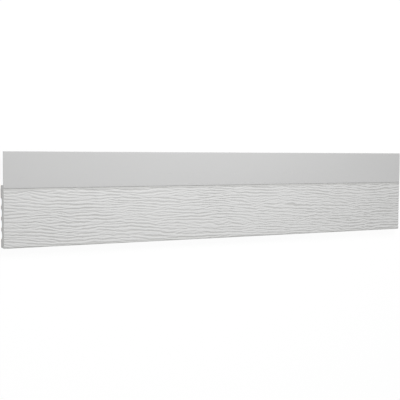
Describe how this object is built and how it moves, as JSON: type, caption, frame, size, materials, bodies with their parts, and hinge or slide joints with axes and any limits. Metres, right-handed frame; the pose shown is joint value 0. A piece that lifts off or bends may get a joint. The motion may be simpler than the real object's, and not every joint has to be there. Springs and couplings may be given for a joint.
{
  "type": "garage door stop moulding",
  "caption": "Flat stop moulding of cellular plastic with an embossed wood-grain face, a fluted back and a thin flexible sealing flap along one long edge.",
  "frame": {"origin": "bottom centre of the whole outline, on the floor that the back lands lie on", "axes": "+X along the moulding's length, +Y from the board's foot edge to the flap's free edge, +Z out of the grained face"},
  "size_m": [0.4064, 0.0782, 0.0111],
  "materials": {
    "board": "off-white cellular plastic, matt, with an embossed wood grain on its face",
    "flap": "smooth light grey flexible plastic, satin"
  },
  "bodies": {
    "root": {"stop_board": "board", "seal_flap": "flap"}
  },
  "joints": []
}
